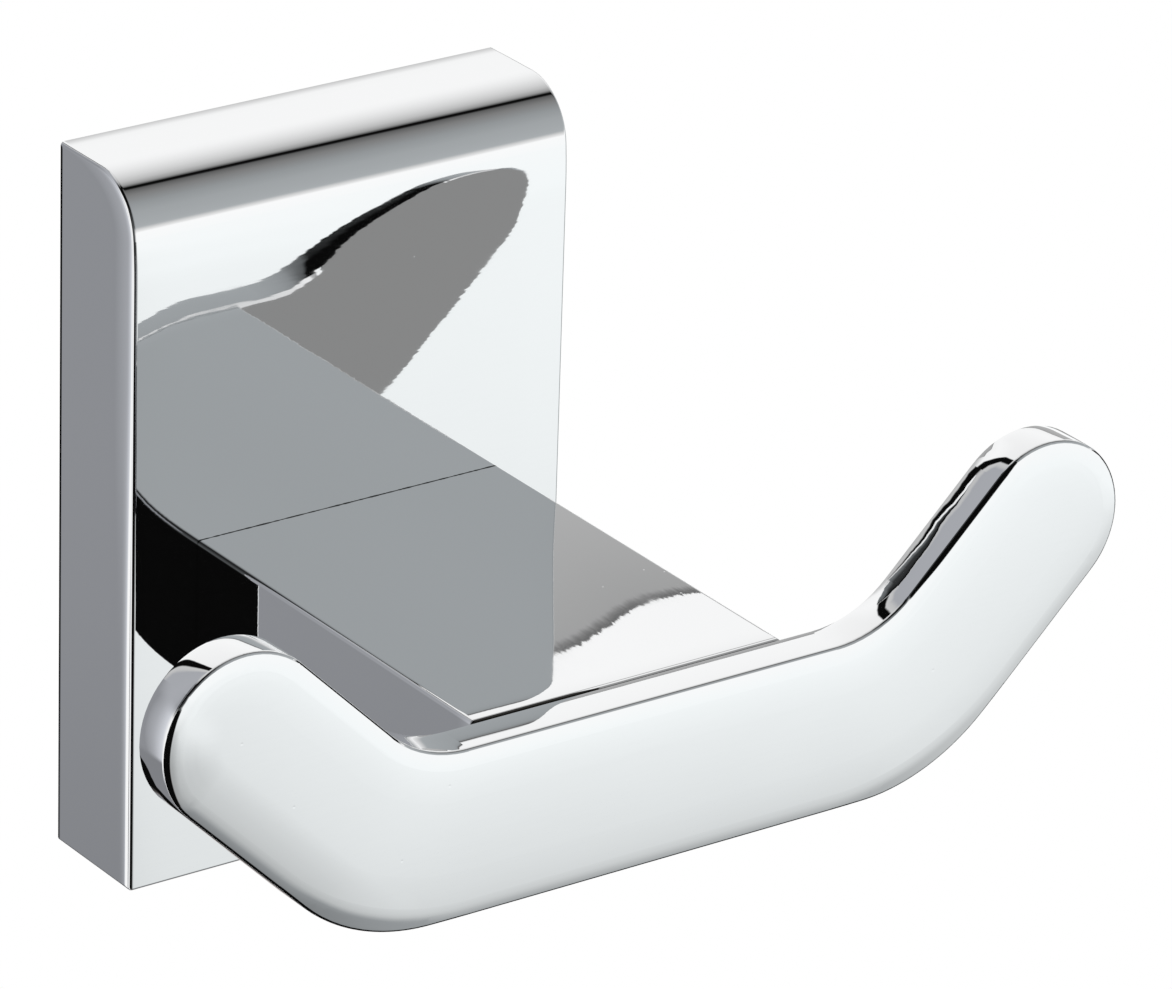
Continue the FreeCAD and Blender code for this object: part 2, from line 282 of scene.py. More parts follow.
def chrome(name):
    """Plain chrome, with what its normals are worked out from: place and normal, both in parts."""
    material, tree, shader = metal(name, CHROME, 0.02)
    place = object_place(tree)
    normal = tree.nodes.new("ShaderNodeNewGeometry").outputs["Normal"]
    return material, tree, shader, place, separate(tree, place), separate(tree, normal)


def finish_chrome(tree, shader, lean, grain, wave, hair, pit_height):
    buffed = use_group(tree, buffed_group, Lean=lean, Grain=grain, Wave=wave, Hair=hair)
    tree.links.new(buffed["Roughness"], shader.inputs["Roughness"])
    add_bump(tree, shader, pit_height, PIT_DEPTH, 1.0, under=buffed["Normal"])


ROSE_LOW, ROSE_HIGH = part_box("wall_rose")
CURVE = 0.0055
CURVE_START = ROSE_HIGH.z - CURVE
EASE_START = 0.0223
EASE_LENGTH = 0.0047
EASE_LEAN = 0.0628
FRONT_TURN_REACH = 0.006
FRONT_TURN = 0.052
SIDE_TURN_REACH = 0.0040
BACK_TURN_REACH = 0.00045
BOTTOM_TURN_REACH = 0.00030
BACK_TURN = 0.38
TOP_TURN_REACH = 0.0022
TOP_TURN = 0.10
ROSE_PITS = [
    (-9.73, -11.8, 27.96), (3.07, -11.8, 28.14), (6.2, -11.8, 20.5), (-4.1, -11.7, 30.9),
    (13.5, -11.8, -12.0),
]
ROSE_PIT_RADIUS = 0.00014


def rose_lean(tree, place, normal):
    x, y, z = place
    facing_front = smooth_step(tree, normal[1], -FLAT_FROM, -FLAT_AT)
    facing_side = smooth_step(tree, maths(tree, "ABSOLUTE", normal[0]), FLAT_FROM, FLAT_AT)
    facing_up = smooth_step(tree, normal[2], FLAT_FROM, FLAT_AT)
    side = maths(tree, "SIGN", x)
    from_side = maths(tree, "SUBTRACT", ROSE_HIGH.x, maths(tree, "ABSOLUTE", x))
    from_back = maths(tree, "MULTIPLY", y, -1.0)
    from_bottom = maths(tree, "SUBTRACT", z, ROSE_LOW.z)

    # The front turns towards its sides, more so low down, and towards the top curve
    low_down = maths(tree, "MULTIPLY_ADD", smooth_step(tree, z, -0.010, -0.030), 0.8, 1.0)
    outwards = product(
        tree, fade(tree, from_side, FRONT_TURN_REACH, 2.0), FRONT_TURN, side, low_down, facing_front
    )
    climb = maths(tree, "DIVIDE", maths(tree, "SUBTRACT", z, EASE_START), EASE_LENGTH)
    climb = maths(tree, "MAXIMUM", climb, 0.0)
    ease = maths(tree, "MULTIPLY", maths(tree, "POWER", climb, 2.3), EASE_LEAN)
    below_curve = smooth_step(tree, z, 0.0277, 0.0272)
    upwards = product(tree, maths(tree, "SUBTRACT", ease, normal[2]), below_curve, facing_front)

    # The sides turn towards the front, widely at the top and more tightly low down
    climbed = maths(tree, "DIVIDE", maths(tree, "SUBTRACT", z, CURVE_START), CURVE)
    climbed = maths(tree, "MINIMUM", maths(tree, "MAXIMUM", climbed, 0.0), 0.99)
    steepness = maths(tree, "SQRT", maths(tree, "SUBTRACT", 1.0, maths(tree, "MULTIPLY", climbed, climbed)))
    dropped = maths(tree, "MULTIPLY", maths(tree, "SUBTRACT", 1.0, steepness), CURVE)
    from_front = maths(tree, "SUBTRACT", maths(tree, "SUBTRACT", y, ROSE_LOW.y), dropped)
    from_front = maths(tree, "MULTIPLY", from_front, steepness)
    slow_turn = fade(tree, from_front, SIDE_TURN_REACH, 1.0)
    wide_turn = maths(tree, "MULTIPLY", slow_turn, 0.15)
    wide_turn = maths(tree, "MULTIPLY_ADD", fade(tree, from_front, 0.0012, 2.0), 0.45, wide_turn)
    tight_turn = maths(tree, "MULTIPLY", slow_turn, 0.07)
    tight_turn = maths(tree, "MULTIPLY_ADD", fade(tree, from_front, 0.0018, 2.0), 0.90, tight_turn)
    tightness = smooth_step(tree, z, 0.020, -0.016)
    forwards = maths(tree, "MULTIPLY", blend(tree, tightness, wide_turn, tight_turn), facing_side)
    up_forwards = maths(tree, "MULTIPLY", forwards, climbed)
    forwards = product(tree, forwards, steepness, -1.0)

    # The sides turn to the back tightly at their back and bottom edges, and the top more widely
    at_back = fade(tree, from_back, BACK_TURN_REACH, 0.8)
    at_bottom = fade(tree, from_bottom, BOTTOM_TURN_REACH, 0.8)
    back_turn = product(tree, maths(tree, "MAXIMUM", at_back, at_bottom), BACK_TURN, facing_side)
    top_turn = product(tree, fade(tree, from_back, TOP_TURN_REACH, 0.9), TOP_TURN, facing_up)
    return combine(
        tree,
        outwards,
        add_all(tree, forwards, back_turn, top_turn),
        maths(tree, "ADD", upwards, up_forwards),
    )


rose, tree, shader, place, place_parts, normal_parts = chrome("rose chrome")
finish_chrome(
    tree, shader, rose_lean(tree, place_parts, normal_parts),
    grain=BUFFED_SIDEWAYS, wave=0.006, hair=0.006,
    pit_height=pits(tree, place, ROSE_PITS, ROSE_PIT_RADIUS),
)
dress("wall_rose", rose)


# Arm
# A length of flat bar with softly broken edges, set square on the rose. Grime and painted shadow darken
# its plating in a hairline where it meets the rose, and in a wider line where the hook bar is brazed on its
# end.
ARM_LOW, ARM_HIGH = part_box("arm")
ARM_PITS = [
    (8.68, -37.4, -1.0), (13.64, -36.38, -1.0), (13.62, -41.8, -1.0), (14.9, -37.6, -1.0),
    (-6.0, -30.2, -1.0),
]
ARM_PIT_RADIUS = 0.00010
WAVE_LENGTH = 0.026
WAVE_START = -0.002
WAVE_LEAN = 0.0085
DIP_REACH = 0.003
DIP_LEAN = -0.138
SEAM_DEPTH = 0.00026
OPEN_JOINT = 0.00028
SECOND_LINE = 0.00032


def arm_lean(tree, place, normal):
    """Lean along the arm: long waves across its top, and a dip where the bar is brazed on."""
    x, y = place[:2]
    facing_up = smooth_step(tree, normal[2], FLAT_FROM, FLAT_AT)
    from_bar = maths(tree, "SUBTRACT", y, ARM_LOW.y)
    dip = product(tree, fade(tree, from_bar, DIP_REACH, 2.0), DIP_LEAN)
    swing = maths(tree, "MULTIPLY", maths(tree, "SUBTRACT", x, WAVE_START), 2 * math.pi / WAVE_LENGTH)
    swing = product(tree, maths(tree, "COSINE", swing), WAVE_LEAN, facing_up)
    return combine(tree, 0.0, maths(tree, "ADD", dip, swing), 0.0)


def dark_line(tree, shader, mask):
    """Grime and shadow in a joint, painted over the plating."""
    painted = mix_colour(tree, mask, (*CHROME, 1.0), (0.012, 0.011, 0.010, 1.0))
    tree.links.new(painted, shader.inputs["Base Color"])


def joint_grime_and_shade(tree, place_vector, place, normal):
    """Mask of grime and painted shadow in the seam at the rose and the joint at the bar: open and dark on
    the left, two fine lines on.
    """
    x, y = place[:2]
    ragged = noise(tree, place_vector, 1500.0, (1.0, 0.0, 1.0), 3.0)["Fac"]
    from_rose = maths(tree, "SUBTRACT", ARM_HIGH.y, y)
    rose_seam_shade = maths(tree, "SUBTRACT", maths(tree, "MULTIPLY", ragged, SEAM_DEPTH), from_rose)
    rose_seam_shade = smooth_step(tree, rose_seam_shade, 0.0, 0.00005)
    # The painted shadow in the seam at the rose is strongest on the arm's top face
    on_top = smooth_step(tree, normal[2], 0.3, 0.7)
    rose_seam_shade = maths(tree, "MULTIPLY", rose_seam_shade, maths(tree, "MULTIPLY_ADD", on_top, 0.65, 0.35))
    from_bar = maths(tree, "SUBTRACT", y, ARM_LOW.y)
    width = maths(tree, "MULTIPLY", smooth_step(tree, x, -0.0022, -0.0058), OPEN_JOINT)
    open_joint_shade = smooth_step(tree, maths(tree, "SUBTRACT", width, from_bar), 0.0, 0.00004)
    to_line = maths(tree, "ABSOLUTE", maths(tree, "SUBTRACT", from_bar, SECOND_LINE))
    fine_line_shade = add_all(
        tree, smooth_step(tree, from_bar, 0.00011, 0.00005), smooth_step(tree, to_line, 0.00008, 0.00002)
    )
    fine_line_shade = maths(tree, "MULTIPLY", fine_line_shade, 0.62)
    return maths(tree, "MAXIMUM", rose_seam_shade, maths(tree, "MAXIMUM", open_joint_shade, fine_line_shade))


arm, tree, shader, place, place_parts, normal_parts = chrome("arm chrome")
# The joints are painted dark over the plating: grime with painted shadow
dark_line(tree, shader, joint_grime_and_shade(tree, place, place_parts, normal_parts))
finish_chrome(
    tree, shader, arm_lean(tree, place_parts, normal_parts),
    grain=BUFFED_INWARDS, wave=0.004, hair=0.0042,
    pit_height=pits(tree, place, ARM_PITS, ARM_PIT_RADIUS),
)
dress("arm", arm)


# Hook bar
# A strip cut from plate, cranked up at both ends and rounded on the linisher. The belt leaves its
# narrow faces bulged, and the front has a faint swell across it.
BAR_HALF = 0.0076
BAR_TOP = -0.001
WING = math.radians(44.4)
END_ALONG = 0.04001
END_RISE = 0.00512
STRIP_BACK = -0.0534
STRIP_THICKNESS = 0.0039
WORN_BAND = 0.00024
WORN_LEAN = 0.83
SWELL = 0.024
BAR_PITS = [
    (-40.51, -57.6, 5.09), (-35.49, -57.6, -1.74), (-20.46, -57.6, -3.74), (-24.98, -57.6, -9.31),
    (28.53, -57.6, -5.45),
]
BAR_PIT_RADIUS = 0.00016


def plain(value):
    """A ramp colour that stands for a number."""
    return (value, value, value, 1.0)


def ramp(tree, factor, stops, low, high):
    share = maths(tree, "DIVIDE", maths(tree, "SUBTRACT", factor, low), high - low)
    node = tree.nodes.new("ShaderNodeValToRGB")
    tree.links.new(share, node.inputs["Fac"])
    elements = node.color_ramp.elements
    for index, (place, colour) in enumerate(stops):
        position = (place - low) / (high - low)
        element = elements[index] if index < 2 else elements.new(position)
        element.position = position
        element.color = colour
    return node.outputs["Color"]


# How far the belt has turned the front's rim over, as a share of the slope of the bare shape
RIM_TURN = [
    (0.0, 0.25), (0.035, 0.30), (0.044, 0.45), (0.078, 0.38), (0.096, 0.56),
    (0.139, 0.76), (0.172, 0.90), (0.191, 0.98), (0.215, 0.90), (0.25, 0.76),
]


def bar_front_lean(tree, normal, across_level, across_wing, beyond, in_wing, side):
    """Sideways and upward lean of the front: a faint swell, the rolled rim and its worn edges."""
    slope = vector_maths(tree, "LENGTH", combine(tree, normal[0], 0.0, normal[2]))
    way = maths(tree, "DIVIDE", 1.0, maths(tree, "MAXIMUM", slope, 0.0001))
    way_x = maths(tree, "MULTIPLY", normal[0], way)
    way_z = maths(tree, "MULTIPLY", normal[2], way)
    front = maths(tree, "MULTIPLY", normal[1], -1.0)
    facing_front = smooth_step(tree, front, 0.93, 0.965)

    share = ramp(tree, slope, [(at, plain(turned)) for at, turned in RIM_TURN], 0.0, 0.25)
    rim = product(tree, slope, maths(tree, "SUBTRACT", share, 1.0), facing_front)

    # The very edge is worn off, so that it mirrors the darkness: widely where it faces left, and
    # finely right and below
    outside = maths(tree, "MAXIMUM", beyond, 0.0)
    from_middle = vector_maths(tree, "LENGTH", combine(tree, across_wing, outside, 0.0))
    from_middle = maths(tree, "MAXIMUM", from_middle, 0.0001)
    leftwards = maths(tree, "MULTIPLY_ADD", side, 0.18, maths(tree, "SUBTRACT", -0.18, way_x))
    leftwards = product(
        tree, smooth_step(tree, leftwards, 0.42, 0.66), smooth_step(tree, beyond, -0.0135, -0.0080)
    )
    from_worn = maths(tree, "SUBTRACT", BAR_HALF, from_middle)
    from_worn = maths(tree, "MULTIPLY_ADD", leftwards, -WORN_BAND, from_worn)
    worn_left = product(
        tree, smooth_step(tree, from_worn, 0.00032, 0.00012), smooth_step(tree, leftwards, 0.0, 0.15)
    )
    lower = maths(
        tree, "MAXIMUM", smooth_step(tree, way_x, 0.5, 0.68), smooth_step(tree, way_z, -0.5, -0.65)
    )
    fineness = maths(tree, "MULTIPLY", smooth_step(tree, way_z, -0.65, -0.40), 0.13)
    worn_finely = smooth_step(tree, maths(tree, "SUBTRACT", slope, fineness), 0.30, 0.34)
    worn_finely = maths(tree, "MULTIPLY", worn_finely, lower)
    worn = product(tree, maths(tree, "MAXIMUM", worn_left, worn_finely), smooth_step(tree, front, 0.3, 0.6))
    unworn = maths(tree, "SUBTRACT", 1.0, worn)
    turned = maths(tree, "MULTIPLY", rim, unworn)
    to_dark_x = maths(tree, "MULTIPLY_ADD", front, -WORN_LEAN, maths(tree, "MULTIPLY", normal[0], -1.0))
    worn_x = maths(tree, "MULTIPLY", worn, to_dark_x)
    worn_z = product(tree, worn, normal[2], -1.0)

    # The left end falls away further in, towards its left and lower edges
    aside = maths(
        tree, "MULTIPLY_ADD", across_wing, -math.sin(WING), maths(tree, "MULTIPLY", outside, math.cos(WING))
    )
    aside = maths(tree, "DIVIDE", maths(tree, "MULTIPLY", aside, side), from_middle)
    aloft = maths(
        tree, "MULTIPLY_ADD", across_wing, math.cos(WING), maths(tree, "MULTIPLY", outside, math.sin(WING))
    )
    aloft = maths(tree, "DIVIDE", aloft, from_middle)
    far_out = maths(tree, "DIVIDE", from_middle, BAR_HALF)
    wide_fall = maths(tree, "MAXIMUM", maths(tree, "MULTIPLY_ADD", far_out, 0.39, -0.12), 0.0)
    wide_fall = maths(tree, "MINIMUM", wide_fall, 0.125)
    wide_fall = maths(tree, "MULTIPLY_ADD", smooth_step(tree, far_out, 0.82, 0.97), -0.055, wide_fall)
    narrow_fall = maths(tree, "MULTIPLY", maths(tree, "POWER", far_out, 3.2), 0.17)
    widely = smooth_step(tree, aside, -0.50, -1.0)
    falling = product(
        tree,
        blend(tree, widely, narrow_fall, wide_fall),
        smooth_step(tree, aside, -0.15, -0.75),
        smooth_step(tree, aloft, 0.8, 0.1),
        smooth_step(tree, beyond, -0.030, -0.014),
        smooth_step(tree, side, 0.0, -1.0),
        facing_front,
    )
    falling = maths(tree, "MULTIPLY", falling, unworn)

    across = add_all(
        tree,
        maths(tree, "MULTIPLY", across_level, maths(tree, "SUBTRACT", 1.0, in_wing)),
        maths(tree, "MULTIPLY", across_wing, in_wing),
    )
    swell = product(tree, across, SWELL / BAR_HALF, facing_front)
    swell_x = product(tree, swell, in_wing, -math.sin(WING), side)
    swell_z = product(tree, swell, maths(tree, "MULTIPLY_ADD", in_wing, math.cos(WING) - 1.0, 1.0))
    return (
        add_all(tree, swell_x, worn_x, product(tree, turned, way_x), product(tree, falling, aside)),
        add_all(tree, swell_z, worn_z, product(tree, turned, way_z), product(tree, falling, aloft)),
    )


def bar_lean(tree, place_vector, place, normal):
    x, y, z = place
    along = maths(tree, "ABSOLUTE", x)
    side = maths(tree, "SIGN", x)

    # Places across the level part, and across and along the raised ends from the round ends' middles
    across_level = maths(tree, "SUBTRACT", z, BAR_TOP - BAR_HALF)
    out = maths(tree, "SUBTRACT", along, END_ALONG)
    above = maths(tree, "SUBTRACT", z, END_RISE)
    across_wing = maths(
        tree, "MULTIPLY_ADD", out, -math.sin(WING), maths(tree, "MULTIPLY", above, math.cos(WING))
    )
    beyond = maths(
        tree, "MULTIPLY_ADD", out, math.cos(WING), maths(tree, "MULTIPLY", above, math.sin(WING))
    )
    in_wing = smooth_step(tree, maths(tree, "SUBTRACT", across_level, across_wing), -0.005, 0.005)
    lean_x, lean_z = bar_front_lean(tree, normal, across_level, across_wing, beyond, in_wing, side)

    # The narrow faces bulge towards the front edge, most on the left, and drop at the back one,
    # in a wavy band inside the right end and below the left one
    narrow = smooth_step(tree, maths(tree, "ABSOLUTE", normal[1]), 0.35, 0.10)
    depth = maths(tree, "DIVIDE", maths(tree, "ADD", y, -STRIP_BACK + STRIP_THICKNESS), STRIP_THICKNESS)
    depth = maths(tree, "MINIMUM", maths(tree, "MAXIMUM", depth, 0.0), 1.0)
    in_right_end = smooth_step(tree, x, 0.020, 0.026)
    inside = product(tree, smooth_step(tree, normal[0], -0.25, -0.5), in_right_end)
    leftmost = product(
        tree, smooth_step(tree, normal[0], -0.3, -0.6), smooth_step(tree, x, -0.03, -0.04)
    )
    fullness = add_all(tree, 0.25, product(tree, leftmost, 0.75), product(tree, inside, -0.10))
    front_turn = maths(tree, "POWER", maths(tree, "SUBTRACT", 1.0, depth), 2.2)
    front_turn = product(tree, front_turn, fullness, -0.33)
    tight_turn = maths(tree, "MULTIPLY", maths(tree, "POWER", depth, 9.0), 0.28)
    waves = noise(tree, place_vector, 420.0, (1.0, 0.2, 1.0), 3.0)["Fac"]
    waved = maths(tree, "MULTIPLY_ADD", waves, 0.22, maths(tree, "SUBTRACT", depth, 0.42))
    wide_turn = maths(tree, "MULTIPLY", maths(tree, "MAXIMUM", waved, 0.0), 0.55)
    below_end = product(
        tree,
        leftmost,
        smooth_step(tree, normal[2], -0.05, -0.30),
        smooth_step(tree, normal[2], -0.70, -0.60),
    )
    steep_turn = product(tree, maths(tree, "MAXIMUM", maths(tree, "SUBTRACT", waved, 0.25), 0.0), 1.6)
    back_turn = add_all(
        tree,
        tight_turn,
        maths(tree, "MULTIPLY", inside, maths(tree, "SUBTRACT", wide_turn, tight_turn)),
        maths(tree, "MULTIPLY", below_end, maths(tree, "SUBTRACT", steep_turn, tight_turn)),
    )
    bulge = product(tree, maths(tree, "ADD", front_turn, back_turn), narrow)

    # The broken back edge inside the right end is blunt, and mirrors what the back does
    blunt = product(
        tree,
        smooth_step(tree, normal[1], 0.3, 0.5),
        smooth_step(tree, normal[0], -0.15, -0.35),
        in_right_end,
        -1.0,
    )
    lean_x = maths(tree, "MULTIPLY_ADD", blunt, normal[0], lean_x)
    lean_z = maths(tree, "MULTIPLY_ADD", blunt, normal[2], lean_z)
    return combine(tree, lean_x, bulge, lean_z)


bar, tree, shader, place, place_parts, normal_parts = chrome("hook bar chrome")
finish_chrome(
    tree, shader, bar_lean(tree, place, place_parts, normal_parts),
    grain=BUFFED_SIDEWAYS, wave=0.006, hair=0.005,
    pit_height=pits(tree, place, BAR_PITS, BAR_PIT_RADIUS),
)
dress("hook_bar", bar)


# Arm screws and washers
# Two socket cap screws from inside the rose, each on a spring washer, both bought zinc plated.
WIRE_DRAWN_INWARDS = (1.0, 0.08, 1.0)
dress("arm_screws", zinc(
    "screw zinc", roll=WIRE_DRAWN_INWARDS, dullness=0.24,
    light=(0.74, 0.75, 0.76, 1.0), dark=(0.52, 0.54, 0.56, 1.0),
))
dress("lock_washers", zinc(
    "washer zinc", roll=EVENLY, dullness=0.38,
    light=(0.66, 0.66, 0.63, 1.0), dark=(0.42, 0.42, 0.41, 1.0),
))


# Grub screw
# A turned stainless screw with a dog point, driven from below. The lathe leaves fine rings on it.
def make_turned_group():
    group, given, result = new_group(
        "turned steel",
        [("Pitch", "NodeSocketFloat", 0.00012), ("Axis Y", "NodeSocketFloat", 0.0)],
        [("Height", "NodeSocketFloat"), ("Roughness", "NodeSocketFloat")],
    )
    x, y, z = separate(group, object_place(group))
    off_axis = combine(group, x, maths(group, "SUBTRACT", y, given["Axis Y"]), 0.0)
    radius = vector_maths(group, "LENGTH", off_axis)
    turns = maths(group, "DIVIDE", maths(group, "ADD", radius, z), given["Pitch"])
    rings = maths(group, "SINE", maths(group, "MULTIPLY", turns, 2 * math.pi))
    group.links.new(rings, result["Height"])
    group.links.new(maths(group, "MULTIPLY_ADD", rings, 0.05, 0.27), result["Roughness"])
    return group


GRUB_AXIS_Y = -0.005
GRUB_RINGS = 0.00012
grub, tree, shader = metal("grub stainless", (0.60, 0.59, 0.57), 0.27)
turned = use_group(tree, make_turned_group(), Pitch=GRUB_RINGS, Axis_Y=GRUB_AXIS_Y)
tree.links.new(turned["Roughness"], shader.inputs["Roughness"])
add_bump(tree, shader, turned["Height"], 0.00001, 0.6)
dress("grub_screw", grub)


# Studio
# What the chrome mirrors: a white ceiling light with a black rim, grey paper above, a white table
# that darkens downwards in front, darkness at the front left, papers on the left, a grey wall far
# right and a grey board behind on the right. The camera itself sees plain white.
def grey(value, tint=(1.0, 1.0, 1.0)):
    """Scene colour of a grey given as it shows, from 0 to 255."""
    share = value / 255
    linear = ((share + 0.055) / 1.055) ** 2.4 if share > 0.04045 else share / 12.92
    return tuple(linear * part for part in tint) + (1.0,)


def mirrored(value, tint=(1.0, 1.0, 1.0)):
    """Scene colour of a grey given as it shows in the chrome."""
    return tuple(part / CHROME[1] for part in grey(value, tint)[:3]) + (1.0,)


SLATE = (0.95, 1.0, 1.03)
FROST = (0.968, 1.0, 1.004)
COOL = (0.975, 1.0, 1.07)
ROSY = (1.09, 1.0, 0.98)
BLACK = mirrored(9)
WHITE = (1.0, 1.0, 1.0, 1.0)
ROOM_LIGHT = (0.55, 0.55, 0.55, 1.0)
FULL_TURN = 360.0
HALF_TURN = FULL_TURN / 2

world = bpy.data.worlds.new("studio")
bpy.context.scene.world = world
world.use_nodes = True
tree = world.node_tree
tree.nodes.clear()
direction = tree.nodes.new("ShaderNodeTexCoord").outputs["Generated"]
along, inward, upward = separate(tree, direction)
TO_DEGREES = 180 / math.pi

# Angle round the hook's long axis: 0 at the wall, 90 overhead, 180 in front
turn = maths(tree, "MULTIPLY", maths(tree, "ARCTAN2", upward, inward), TO_DEGREES)
turn = maths(tree, "FLOORED_MODULO", turn, FULL_TURN)
above = ramp(tree, turn, [
    (0, mirrored(168)),
    (13, mirrored(190)),
    (19, mirrored(243)),
    (29, mirrored(246)),
    (38, mirrored(243)),
    (48, mirrored(238)),
    (56, mirrored(232)),
    (63, mirrored(225)),
    (74, mirrored(210)),
    (84, mirrored(188)),
    (92, mirrored(150)),
    (97, mirrored(10)),
    (101, mirrored(10)),
    (103, mirrored(92)),
    (113, mirrored(124)),
    (130, mirrored(150, SLATE)),
    (146, mirrored(163, SLATE)),
    (171, mirrored(172, SLATE)),
    (175, mirrored(208)),
    (181, mirrored(246)),
    (360, mirrored(246)),
], 0, 360)

# Height over the horizon and bearing round the vertical: 0 in front, 90 right, 180 at the wall
lift = maths(tree, "MULTIPLY", maths(tree, "ARCSINE", upward), TO_DEGREES)
bearing = maths(tree, "ARCTAN2", along, maths(tree, "MULTIPLY", inward, -1.0))
bearing = maths(tree, "FLOORED_MODULO", maths(tree, "MULTIPLY", bearing, TO_DEGREES), FULL_TURN)
below = ramp(tree, lift, [
    (-90, mirrored(60, SLATE)),
    (-60, mirrored(110, SLATE)),
    (-47, mirrored(150, SLATE)),
    (-40, mirrored(190, FROST)),
    (-34, mirrored(206, FROST)),
    (-30, mirrored(215, FROST)),
    (-28, mirrored(222, FROST)),
    (-26, mirrored(231, FROST)),
    (-23.5, mirrored(241, FROST)),
    (-21, mirrored(248, FROST)),
    (0, mirrored(250)),
], -90, 0)
right_side = mix_colour(tree, smooth_step(tree, upward, -0.02, 0.02), below, above)

# Brown-grey shade low behind on the right
low_behind = product(tree, smooth_step(tree, bearing, 112, 126), smooth_step(tree, lift, -8, -13))
shade = ramp(tree, lift, [
    (-90, mirrored(120, ROSY)),
    (-45, mirrored(160, ROSY)),
    (-30, mirrored(178, ROSY)),
    (-26.5, mirrored(141, (1.0, 1.0, 0.99))),
], -90, 0)
right_side = mix_colour(tree, low_behind, right_side, shade)

# Grey wall on the far right
wall_shade = ramp(tree, lift, [
    (-40, mirrored(118, SLATE)),
    (-22, mirrored(140, SLATE)),
    (-8, mirrored(172, SLATE)),
    (4, mirrored(196, SLATE)),
    (16, mirrored(168, SLATE)),
    (40, mirrored(120, SLATE)),
], -40, 40)
wall_mask = product(
    tree,
    smooth_step(tree, bearing, 64, 84),
    smooth_step(tree, bearing, 114, 102),
    smooth_step(tree, lift, -52, -38),
    smooth_step(tree, lift, 42, 30),
)
right_side = mix_colour(tree, wall_mask, right_side, wall_shade)

# Darkness straight ahead on the left, which fades out to the right and reaches less far at eye level
ahead = maths(tree, "FLOORED_MODULO", maths(tree, "ADD", bearing, HALF_TURN), FULL_TURN)
ahead = maths(tree, "SUBTRACT", ahead, HALF_TURN)
eye_level = maths(tree, "MULTIPLY", smooth_step(tree, lift, -20, -12), smooth_step(tree, lift, 12, 5))
ahead = maths(tree, "MULTIPLY_ADD", eye_level, 18.0, ahead)
dark_ahead = ramp(tree, ahead, [(at, plain(share)) for at, share in (
    (-100, 0.0), (-76, 0.0), (-75, 1.0), (-12, 1.0), (-6, 0.675), (0, 0.60), (3, 0.544), (8, 0.388),
    (12, 0.207), (20, 0.086), (25, 0.050), (30, 0.025), (36, 0.0), (180, 0.0),
)], -100, 180)
darkness = ramp(tree, lift, [
    (-90, BLACK),
    (-20, BLACK),
    (-15, mirrored(58, SLATE)),
    (-4, mirrored(84, SLATE)),
    (10, mirrored(70, SLATE)),
    (40, BLACK),
], -90, 90)
right_side = mix_colour(tree, dark_ahead, right_side, darkness)

# Papers on the left: one low down, and one above it that ends sooner towards the front
left_low = ramp(tree, bearing, [
    (150, BLACK),
    (193, BLACK),
    (197, mirrored(142, COOL)),
    (216, mirrored(140, COOL)),
    (228, mirrored(168, COOL)),
    (245, mirrored(208, COOL)),
    (252, mirrored(246)),
    (278, mirrored(250)),
    (284, BLACK),
    (360, BLACK),
], 150, 360)
left_high = ramp(tree, bearing, [
    (150, BLACK),
    (193, BLACK),
    (194.5, mirrored(198)),
    (199, mirrored(190)),
    (203, mirrored(166, COOL)),
    (225, mirrored(168, COOL)),
    (240, mirrored(166, COOL)),
    (253, mirrored(140, COOL)),
    (262, BLACK),
    (360, BLACK),
], 150, 360)
left_side = mix_colour(tree, smooth_step(tree, lift, 15, 30), left_low, left_high)
left_foot = mix_colour(tree, smooth_step(tree, bearing, 183, 187), BLACK, mirrored(128, COOL))
left_foot = mix_colour(tree, smooth_step(tree, bearing, 240, 250), left_foot, left_low)
left_side = mix_colour(tree, smooth_step(tree, lift, -23.5, -29), left_side, left_foot)

# The bearing where the left side starts, which a ramp can only hold as a share of a full turn
LEFT_FROM_LOW = 157
LEFT_FROM_HIGH = 184
left_from = ramp(tree, lift, [
    (-90, plain(LEFT_FROM_LOW / FULL_TURN)),
    (-10, plain(LEFT_FROM_LOW / FULL_TURN)),
    (-4, plain(LEFT_FROM_HIGH / FULL_TURN)),
    (90, plain(LEFT_FROM_HIGH / FULL_TURN)),
], -90, 90)
past_start = maths(tree, "SUBTRACT", bearing, maths(tree, "MULTIPLY", left_from, FULL_TURN))
on_left = product(
    tree,
    smooth_step(tree, past_start, -1.0, 1.0),
    smooth_step(tree, bearing, 300, 296),
    smooth_step(tree, lift, 66, 58),
)
mirrored_room = mix_colour(tree, on_left, right_side, left_side)

paths = tree.nodes.new("ShaderNodeLightPath")
seen = mix_colour(tree, paths.outputs["Is Camera Ray"], ROOM_LIGHT, WHITE)
shown = mix_colour(tree, paths.outputs["Is Glossy Ray"], seen, mirrored_room)
background = tree.nodes.new("ShaderNodeBackground")
tree.links.new(shown, background.inputs["Color"])
tree.links.new(background.outputs[0], tree.nodes.new("ShaderNodeOutputWorld").inputs["Surface"])


def sheet(name, middle, across, up, width, height):
    """A flat rectangle of the studio, from one bmesh grid cell turned into its place."""
    shape = bmesh.new()
    bmesh.ops.create_grid(shape, x_segments=1, y_segments=1, size=0.5)
    facing = across.cross(up)
    bmesh.ops.transform(shape, verts=shape.verts, matrix=Matrix((
        (across.x * width, up.x * height, facing.x, middle.x),
        (across.y * width, up.y * height, facing.y, middle.y),
        (across.z * width, up.z * height, facing.z, middle.z),
        (0, 0, 0, 1),
    )))
    mesh = bpy.data.meshes.new(name)
    shape.to_mesh(mesh)
    shape.free()
    piece = bpy.data.objects.new(name, mesh)
    bpy.context.scene.collection.objects.link(piece)
    return piece


